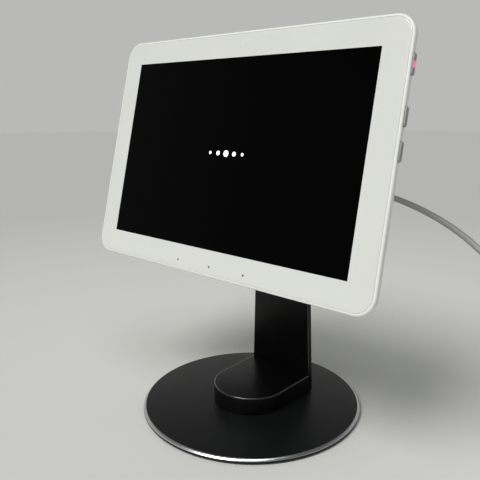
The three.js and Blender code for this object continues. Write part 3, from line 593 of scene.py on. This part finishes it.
def rounded(width, height, radius, depth, x=0.0, z=0.0, steps=12):
    """A rectangle's outline with quarter circles for corners, at one depth of the unit."""
    turn = np.linspace(0, math.pi / 2, steps + 1)
    rings = []
    for right, up, start in ((1, -1, -0.5), (1, 1, 0), (-1, 1, 0.5), (-1, -1, 1)):
        angle = turn + start * math.pi
        across = x + right * (width / 2 - radius) + radius * np.cos(angle)
        above = z + up * (height / 2 - radius) + radius * np.sin(angle)
        rings.append(np.column_stack([across, np.full_like(angle, depth), above]))
    return np.vstack(rings)


def unit_outline(inset, depth):
    """The unit's outline drawn in by the inset."""
    radius = max(CORNER_RADIUS - inset, SMALLEST_RADIUS)
    return rounded(UNIT_WIDTH - 2 * inset, UNIT_HEIGHT - 2 * inset, radius, depth)


def pill(length, width, z, x, depth, steps=10):
    """A long round-ended outline upright in the unit's side, at one x."""
    turn = np.linspace(0, math.pi, steps + 1)
    radius, reach = width / 2, (length - width) / 2
    upper = np.column_stack([depth + radius * np.cos(turn), z + reach + radius * np.sin(turn)])
    lower = np.column_stack([depth - radius * np.cos(turn), z - reach - radius * np.sin(turn)])
    return np.insert(np.vstack([upper, lower]), 0, x, axis=1)


# Moulded PC/ABS: a clean white, satin from a fine spark-eroded tool.
shell_white = grained(
    "white_moulded_abs", "#f1f2f0", "#ebecea", grain=0.7, relief=0.006, roughness=(0.4, 0.5),
    patch=35, IOR=1.54,
)
RIM, GLASS_BACK, LEDGE_BACK, WALL = 1.3, 1.2, 2.2, 2.9
# (inset, depth) over the rolled rim, down the side, in along the parting line and up inside.
FRAME_SECTION = [(RIM, 0.16), (1.22, 0.07), (1.05, 0.05), (0.75, 0.09), (0.45, 0.22)]
FRAME_SECTION += [(0.22, 0.42), (0.07, 0.68), (0, 1.0), (0, 2.1), (0, 2.95), (0.06, 3.15)]
FRAME_SECTION += [(0.2, 3.4), (0.52, 3.8), (0.9, 4.2), (1.12, 4.4), (1.35, 4.5)]
FRAME_SECTION += [(WALL, 4.5), (WALL, LEDGE_BACK)]
WINDOW = (177.8, 113.2, 1.5)
frame_rings = [unit_outline(inset, depth) for inset, depth in FRAME_SECTION]
frame_rings += [rounded(*WINDOW, LEDGE_BACK), rounded(*WINDOW, GLASS_BACK)]
frame_rings += [unit_outline(RIM, GLASS_BACK)]
front_frame = skinned("moulded_front_frame", tilted(frame_rings), shell_white, closed=True)

BUTTON_DEPTH, BUTTON_WIDTH, BUTTON_PROUD = 2.35, 2.4, 0.8
BUTTON_SLACK, SLOT_REACH = 0.4, 2.2
# Each button's height on the side, and its length.
BUTTONS = {"mute": (45.2, 10.0), "volume_up": (21.9, 9.2), "volume_down": (6.3, 9.2)}
side = UNIT_WIDTH / 2
slots = []
for z, length in BUTTONS.values():
    sizes = (length + BUTTON_SLACK, BUTTON_WIDTH + BUTTON_SLACK)
    ends = [pill(*sizes, z, x, BUTTON_DEPTH) for x in (side - SLOT_REACH, side + 2)]
    slots.append(skinned("cutter", tilted(ends)))
cut_away(front_frame, *slots)
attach(front_frame, "head")
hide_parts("front_frame")


# ---- Cover glass ----
# One 1.1 mm sheet of toughened glass with a ground edge. Its back is printed white round a clear
# window, and the dark panel is bonded behind it, so the front reads as one glossy surface.
SCREEN_WIDTH, SCREEN_HEIGHT = 172.3, 107.7


def printed_glass():
    """White ink under glass: the ink gives the colour, and a hard clear coat the reflection."""
    return grained(
        "white_printed_glass", "#e0e2df", "#dcdedb", grain=6.0, relief=0.0, roughness=(0.3, 0.34),
        patch=60, IOR=1.5, Coat_Weight=1.0, Coat_Roughness=0.04, Coat_IOR=1.5,
    )


def dark_panel():
    """A switched-off panel under glass with an anti-glare film: near black, with the faintest
    smears in its gloss where a hand has wiped it."""
    material, shader = new_finish(
        "dark_display", Base_Color=colour("#010102"), IOR=1.33, Specular_IOR_Level=0.07
    )
    place = add_node(material, "ShaderNodeTexCoord").outputs["Object"]
    inputs = {"Vector": place, "Scale": (18.0, 18.0, 70.0), "Rotation": (0.0, 0.6, 0.0)}
    stretched = add_node(material, "ShaderNodeMapping", inputs).outputs["Vector"]
    inputs = {"Vector": stretched, "Scale": 1.0, "Detail": 5.0, "Distortion": 0.6}
    smears = add_node(material, "ShaderNodeTexNoise", inputs).outputs["Fac"]
    inputs = {"Value": smears, "From Min": 0.35, "From Max": 0.75, "To Min": 0.05, "To Max": 0.12}
    gloss = add_node(material, "ShaderNodeMapRange", inputs).outputs["Result"]
    plug_in(material, shader, Roughness=gloss)
    return material


# (inset, depth) up the ground edge and on to the face.
GLASS_SECTION = [(1.36, 1.1), (1.36, 0.26), (1.4, 0.12), (1.5, 0.03), (1.66, 0.0), (4.0, 0.0)]
glass_rings = [unit_outline(inset, depth) for inset, depth in GLASS_SECTION]
glass_rings += [rounded(SCREEN_WIDTH, SCREEN_HEIGHT, 0.4, 0.0)]
cover_glass = skinned("printed_cover_glass", tilted(glass_rings), printed_glass(), dark_panel())
last = len(cover_glass.data.polygons) - 1
cover_glass.data.polygons[last].material_index = 1

# Each hole's x, z and radius. The microphones' are drawn wider than they are, so that they show.
MICROPHONES = [(x, -62.9, 0.58) for x in (-25.0, 0.0, 25.0)]
SENSOR = (0.0, 61.5, 1.1)
HOLE_FLOOR, FILL_BACK = 0.7, 0.69


def unit_rod(x, z, radius, front, back, sides=24):
    """A rod along the unit's depth."""
    angle = np.linspace(0, 2 * math.pi, sides, endpoint=False)
    ring = np.column_stack([x + radius * np.cos(angle), 0 * angle, z + radius * np.sin(angle)])
    return tilted([ring + (0, front, 0), ring + (0, back, 0)])


holes = [skinned("cutter", unit_rod(*hole, -1, HOLE_FLOOR)) for hole in (*MICROPHONES, SENSOR)]
cut_away(cover_glass, *holes)
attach(cover_glass, "head")
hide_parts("cover_glass")

# A black disc at the bottom of each microphone hole, painted shade for the hole's dark depth, and
# the sensor's milky window, which shows a shade lighter than the print round it.
black_mesh_and_hole_shade = grained(
    "black_mesh_and_painted_hole_shade", "#101011", "#060607", grain=0.3, relief=0.05, roughness=(0.7, 0.85),
    patch=2,
)
sensor_glass = grained(
    "milky_sensor_window", "#f0f2f1", "#e8eae9", grain=4.0, relief=0.0, roughness=(0.08, 0.12),
    patch=3, IOR=1.5, Coat_Weight=1.0, Coat_Roughness=0.03,
)
for at, hole in enumerate(MICROPHONES):
    dot = skinned(f"microphone_hole_shade_{at + 1}", unit_rod(*hole, 0.3, FILL_BACK), black_mesh_and_hole_shade)
    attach(dot, "head")
window = skinned("sensor_window", unit_rod(*SENSOR, 0.02, FILL_BACK), sensor_glass)
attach(window, "head")


# ---- Start-up dots ----
# The panel shows it is starting: a plain row of five small white dots in the middle, the centre
# one largest, lit from behind.
DOT_RADII = (0.9, 1.3, 1.8, 1.3, 0.9)
DOT_SPACING = 6.0
# Lit dots of the panel behind glass: an even cool white glow.
lit_white = new_finish(
    "lit_white_dots", Base_Color=colour("#f4f6f6"), Roughness=0.3, Emission_Color=colour("#f4f7f8"),
    Emission_Strength=0.9,
)[0]
for at, radius in enumerate(DOT_RADII):
    rod = unit_rod((at - 2) * DOT_SPACING, 0, radius, front=-0.03, back=0.2)
    dot = skinned(f"start_dot_{at + 1}", rod, lit_white)
    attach(dot, "head")


# ---- Side buttons ----
# Three keys in satin grey ABS, each a long round-ended cap with a softened face. The upper one
# mutes the microphones, and a red light pipe in it is lit while they are off.
BUTTON_INNER = side - 3.8
CAP_EDGE = 0.32
LENS_LENGTH, LENS_WIDTH, LENS_EDGE = 3.1, 1.5, 0.2
LENS_SLACK, LENS_SUNK = 0.2, 0.08
# Grey ABS with a fine spark texture: satin, a little lighter where fingers have polished it.
button_grey = grained(
    "satin_grey_abs", "#999b9a", "#8f9190", grain=0.6, relief=0.006, roughness=(0.36, 0.46),
    patch=6, IOR=1.54,
)


def cap_rings(length, width, z, face, edge):
    """Pill outlines from inside the wall out to the face, the last ones drawn in over the edge."""
    rings = [pill(length, width, z, BUTTON_INNER, BUTTON_DEPTH)]
    for inset, drop in eased_edge(edge):
        rings.append(pill(length - 2 * inset, width - 2 * inset, z, face - drop, BUTTON_DEPTH))
    return tilted(rings)


caps = {}
for key, (z, length) in BUTTONS.items():
    rings = cap_rings(length, BUTTON_WIDTH, z, side + BUTTON_PROUD, CAP_EDGE)
    caps[key] = skinned(key + "_cap", rings, button_grey)
mute_z = BUTTONS["mute"][0]
sizes = (LENS_LENGTH + LENS_SLACK, LENS_WIDTH + LENS_SLACK)
ends = [pill(*sizes, mute_z, x, BUTTON_DEPTH) for x in (side - 9, side + 3)]
cut_away(caps["mute"], skinned("cutter", tilted(ends)))
for key, cap in caps.items():
    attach(cap, key + "_key")
    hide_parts(key + "_button")

# Clear red acrylic with a lamp behind it: it glows pink-red all through.
lit_red = new_finish(
    "lit_red_light_pipe", Base_Color=colour("#e0244c"), Roughness=0.25, IOR=1.49,
    Emission_Color=colour("#ff2e60"), Emission_Strength=3.6,
)[0]
lens_face = side + BUTTON_PROUD - LENS_SUNK
rings = cap_rings(LENS_LENGTH, LENS_WIDTH, mute_z, lens_face, LENS_EDGE)
light_pipe = skinned("mute_light_pipe", rings, lit_red)
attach(light_pipe, "mute_key")
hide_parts("mute_lens")


# ---- Rear cover ----
# A second white moulding, 1.8 mm thick, that slopes in from a thin parting line to the flat back.
# It has two speaker grilles, four screw wells and the opening for the power plug.

# (inset, depth) up the inside, and out along the slope to the rounded back.
COVER_INSIDE = [(12.4, 13.2), (9.4, 11.3), (3.1, 4.9), (2.2, 4.75)]
COVER_OUTSIDE = [(1.42, 4.75), (1.56, 4.86), (1.95, 5.25), (3.85, 7.97), (5.65, 10.18)]
COVER_OUTSIDE += [(7.6, 12.4), (8.5, 13.22), (9.4, 13.9), (10.4, 14.38), (11.4, 14.7)]
COVER_OUTSIDE += [(12.5, 14.91), (13.6, 15.0)]
COVER_SCREWS = [(x, z) for x in (80.0, -80.0) for z in (49.0, -49.0)]
GRILLE_SIDES = {"right": 64.0, "left": -64.0}
GRILLE_MIDDLE, GRILLE_PITCH = -28.0, 2.6
GRILLE_ROWS = [GRILLE_MIDDLE + GRILLE_PITCH * row for row in range(-3, 4)]
# Width, height and corner radius of a grille slot, of the cloth and of the power opening.
SLOT, CLOTH, OPENING = (14, 1.2, 0.58), (18, 21, 1.5), (9.7, 3.9, 1.9)
PORT = (42.0, -8.0)
THROUGH, CLOTH_DEPTHS = (12, 17), (12.75, 13.15)
COVER_WELL_RADIUS, COVER_WELL_FLOOR = 2.0, 13.95

cover_rings = [unit_outline(*station) for station in COVER_INSIDE + COVER_OUTSIDE]
rear_cover = skinned("moulded_rear_cover", tilted(cover_rings), shell_white)
wells = [unit_rod(x, z, COVER_WELL_RADIUS, COVER_WELL_FLOOR, back=17) for x, z in COVER_SCREWS]
cutters = [skinned("cutter", well) for well in wells]
for x in GRILLE_SIDES.values():
    for z in GRILLE_ROWS:
        ends = [rounded(*SLOT, depth, x, z, steps=5) for depth in THROUGH]
        cutters.append(skinned("cutter", tilted(ends)))
ends = [rounded(*OPENING, depth, *PORT, steps=8) for depth in THROUGH]
cutters.append(skinned("cutter", tilted(ends)))
cut_away(rear_cover, *cutters)
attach(rear_cover, "head")
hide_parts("rear_cover")

# Black mesh cloth glued inside each grille keeps dust off the speaker.
for hand, x in GRILLE_SIDES.items():
    ends = [rounded(*CLOTH, depth, x, GRILLE_MIDDLE, steps=5) for depth in CLOTH_DEPTHS]
    cloth = skinned(f"grille_cloth_{hand}", tilted(ends), black_mesh_and_hole_shade)
    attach(cloth, "head")


# ---- Plug and its strain relief ----
# A white over-moulded plug pushed into the back, with a soft tapered sleeve ribbed to let the
# lead bend. It moves with the screen.
# Soft PVC moulded over the wires: off-white, satin, with a fine even grain.
plug_white = grained(
    "white_overmould", "#dcddda", "#d3d4d1", grain=0.8, relief=0.008, roughness=(0.38, 0.48),
    patch=8, IOR=1.5,
)
PLUG_FROM, PLUG_TO = 15.25, 32.25
PLUG_WIDTH, PLUG_HEIGHT, PLUG_CORNER = 11.2, 6.2, 2.9
PLUG_NEAR = [(0.9, 0.0), (0.4, 0.12), (0.08, 0.45), (0, 0.9)]
PLUG_FAR = [(0, 3), (0.12, 1.6), (0.45, 0.6), (1.0, 0.1), (1.5, 0.0)]


def plug_outline(inset, depth):
    """The plug's long round-cornered section, drawn in by the inset."""
    sizes = (PLUG_WIDTH - 2 * inset, PLUG_HEIGHT - 2 * inset, PLUG_CORNER - inset)
    return rounded(*sizes, depth, *PORT, steps=8)


plug_rings = [plug_outline(inset, PLUG_FROM + depth) for inset, depth in PLUG_NEAR]
plug_rings += [plug_outline(inset, PLUG_TO - depth) for inset, depth in PLUG_FAR]
plug = skinned("plug_body", tilted(plug_rings), plug_white)
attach(plug, "head")
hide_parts("cord_plug")

RELIEF_LENGTH, RELIEF_RADIUS, RELIEF_WALL = 11.0, 2.6, 0.35
RELIEF_GAP, PLAIN_END = 0.25, 0.4
RIBS, RIB_HEIGHT = 5, 0.22


def sleeve_section():
    """(radius, distance) along a strain relief: a straight taper, plus a rib's height times the
    cosine of as many turns as there are ribs, which is left off at the plain ends."""
    along = np.linspace(0, RELIEF_LENGTH, 56)
    taper = RELIEF_RADIUS + (CORD_RADIUS + RELIEF_WALL - RELIEF_RADIUS) * along / RELIEF_LENGTH
    ribs = RIB_HEIGHT * np.cos(along / RELIEF_LENGTH * 2 * RIBS * math.pi)
    ends = np.minimum(along, RELIEF_LENGTH - along) / PLAIN_END
    return taper - RIB_HEIGHT + np.where(ends < 1, 0, ribs), along


def sleeve_rings(x, face, z):
    """Rings of the sleeve's section about a line along +Y from a face."""
    radius, along = sleeve_section()
    angle = np.linspace(0, 2 * math.pi, 28, endpoint=False)
    across = x + radius[:, None] * np.cos(angle)
    above = z + radius[:, None] * np.sin(angle)
    return np.stack([across, np.broadcast_to((face + along)[:, None], across.shape), above], -1)


relief_rings = sleeve_rings(PORT[0], PLUG_TO + RELIEF_GAP, PORT[1])
relief = skinned("plug_strain_relief", tilted(relief_rings), plug_white)
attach(relief, "head")
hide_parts("cord_relief")


# ---- Power adapter ----
# A small white wall adapter in gloss ABS, two shells welded along a line round its middle, with
# two flat blades and the same ribbed sleeve where the lead leaves it.
# Gloss ABS from a polished tool: bright white, with the faint ripple that a thick wall sinks to.
adapter_white = grained(
    "gloss_white_abs", "#e9eae8", "#e3e5e2", grain=2.0, relief=0.006, roughness=(0.2, 0.28),
    patch=20, IOR=1.54,
)
ADAPTER_X, ADAPTER_FRONT, ADAPTER_BACK = 164.0, -16.0, 22.0
ADAPTER_WIDTH, ADAPTER_HEIGHT, ADAPTER_CORNER = 38.0, 27.0, 6.0
OUTLET_X, OUTLET_Z = 152.0, 7.0
# (inset, depth) round each end's edge, and into the groove of the weld line.
EDGE = [(2.0, 0.0), (1.2, 0.16), (0.58, 0.58), (0.16, 1.2), (0.0, 2.0)]
WELD = [(0.0, 11.6), (0.22, 11.75), (0.22, 12.15), (0.0, 12.3)]


def adapter_outline(inset, depth):
    """The adapter's rounded section on the desk, drawn in by the inset."""
    sizes = (ADAPTER_WIDTH - 2 * inset, ADAPTER_HEIGHT - 2 * inset, ADAPTER_CORNER - inset)
    return rounded(*sizes, depth, ADAPTER_X, ADAPTER_HEIGHT / 2)


adapter_rings = [adapter_outline(inset, ADAPTER_FRONT + depth) for inset, depth in EDGE + WELD]
adapter_rings += [adapter_outline(inset, ADAPTER_BACK - depth) for inset, depth in EDGE[::-1]]
adapter = skinned("adapter_housing", adapter_rings, adapter_white)
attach(adapter, "stand")
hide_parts("adapter_body")
outlet_rings = sleeve_rings(OUTLET_X, ADAPTER_BACK + RELIEF_GAP, OUTLET_Z)
outlet = skinned("adapter_strain_relief", outlet_rings, plug_white)
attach(outlet, "stand")
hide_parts("adapter_relief")


# ---- Cord tie ----
# A strip of black hook-and-loop, 5 mm wide, cut from a woven nylon roll and wrapped once round
# the coil's turns, so that it holds them flat on the desk.

# Looped nylon: dull and fuzzy black, with a soft sheen where the loops catch the light.
tie_weave = grained(
    "black_hook_and_loop", "#1d1d1f", "#131314", grain=0.5, relief=0.12, roughness=(0.8, 0.95),
    patch=3, Sheen_Weight=0.3, Sheen_Roughness=0.5,
)
tie = edge_eased("cord_tie", tie_weave, 0.25)


# ---- Pieces inside ----
# The panel, plate, boards, speakers and antennas are fixed in the unit, and the bush, washer, stop
# pin and pad in the base. They keep their CAD shapes, with finishes of film, foam, plated steel,
# matt ABS, solder mask, foil, rubber and waxy fluoropolymer.
inside_finishes = {
    "panel_black": grained("panel_backing", "#0c0c0e", "#08080a", 0.8, 0.004, (0.3, 0.4)),
    "foam_black": grained("closed_cell_foam", "#2a2a2c", "#222224", 0.5, 0.08, (0.85, 0.95)),
    "plated_steel": zinc_plate,
    "matt_black": grained("matt_black_abs", "#1c1c1e", "#151517", 0.8, 0.02, (0.6, 0.7)),
    "circuit": grained("green_solder_mask", "#17563a", "#0f3f29", 1.2, 0.03, (0.35, 0.5), patch=8),
    "copper": grained("copper_foil", "#c07d52", "#a86a42", 1.0, 0.01, (0.3, 0.42), Metallic=1.0),
    "rubber_black": grained("moulded_rubber", "#141415", "#0f0f10", 1.5, 0.05, (0.75, 0.85)),
    "ptfe": grained("waxy_ptfe", "#e2e2de", "#d8d8d4", 1.0, 0.01, (0.45, 0.55)),
    "bronze": turned_bronze,
}
for part in frame["record"]["subparts"]:
    node, finish = frame["nodes"][part["node"]], inside_finishes.get(part["material_slot"])
    if finish:
        node.data.materials.clear()
        node.data.materials.append(finish)


# ---- Studio ----
# A plain pale floor with painted shade that darkens it a little with distance, one broad soft lamp
# high at the front with a weaker one overhead, and a pale surround, dimmer on the button side and
# overhead.
FLOOR_RADIUS, FLOOR_TOP, FLOOR_UNDER = 4000, -0.01, -5.0
# Matt paint on a board: very even and pale, with painted shade that greys it from 12 cm to 75 cm
# out.
floor_paint = grained(
    "pale_floor", "#dcddda", "#d9dad7", grain=2.0, relief=0.01, roughness=(0.6, 0.7), patch=300
)
paint = floor_paint.node_tree.nodes["Principled BSDF"].inputs["Base Color"]
# Painted shade: the paint is mixed towards a darker grey with distance from the middle.
place = add_node(floor_paint, "ShaderNodeTexCoord").outputs["Object"]
measured = add_node(floor_paint, "ShaderNodeVectorMath", {0: place}, operation="LENGTH")
inputs = {"Value": measured.outputs["Value"], "From Min": 0.12, "From Max": 0.75}
painted_falloff = add_node(floor_paint, "ShaderNodeMapRange", inputs, interpolation_type="SMOOTHSTEP")
inputs = {"Factor": painted_falloff.outputs["Result"], 6: paint.links[0].from_socket, 7: colour("#c4c5c2")}
shaded = add_node(floor_paint, "ShaderNodeMix", inputs, data_type="RGBA").outputs[2]
floor_paint.node_tree.links.new(shaded, paint)
floor_rings = [circle(FLOOR_RADIUS, height, count=96) for height in (FLOOR_UNDER, FLOOR_TOP)]
floor = skinned("floor", floor_rings, floor_paint)


def soft_sun(name, towards_it, strength, spread, tint):
    """A far round lamp: the direction to it, its light in W per square metre, and the angle that
    it covers in the sky in degrees."""
    lamp = bpy.data.lights.new(name, "SUN")
    lamp.energy, lamp.angle, lamp.color = strength, math.radians(spread), colour(tint)[:3]
    light = bpy.data.objects.new(name, lamp)
    light.rotation_euler = Vector(towards_it).to_track_quat("Z", "Y").to_euler()
    bpy.context.scene.collection.objects.link(light)


soft_sun("front_lamp", (-0.04, -0.64, 0.76), 2.0, 28, "#fffdf9")
soft_sun("overhead_lamp", (0.26, -0.3, 0.9), 0.55, 30, "#fbfcff")

world = bpy.data.worlds.new("surround")
bpy.context.scene.world = world
world.use_nodes = True
direction = add_node(world, "ShaderNodeTexCoord").outputs["Generated"]
parts = add_node(world, "ShaderNodeSeparateXYZ", {"Vector": direction})
inputs = {"Value": parts.outputs["X"], "From Min": -0.1, "From Max": 0.8}
rightward = add_node(world, "ShaderNodeMapRange", inputs).outputs["Result"]
inputs = {"Factor": rightward, 6: colour("#b9bab7"), 7: colour("#9a9b98")}
level = add_node(world, "ShaderNodeMix", inputs, data_type="RGBA").outputs[2]
inputs = {"Value": parts.outputs["Z"], "From Min": 0.3, "From Max": 0.75}
upward = add_node(world, "ShaderNodeMapRange", inputs, interpolation_type="SMOOTHSTEP")
inputs = {"Factor": upward.outputs["Result"], 6: level, 7: colour("#5e5f5e")}
shade = add_node(world, "ShaderNodeMix", inputs, data_type="RGBA").outputs[2]
world.node_tree.links.new(shade, world.node_tree.nodes["Background"].inputs["Color"])
bpy.context.scene.view_settings.view_transform = "Standard"
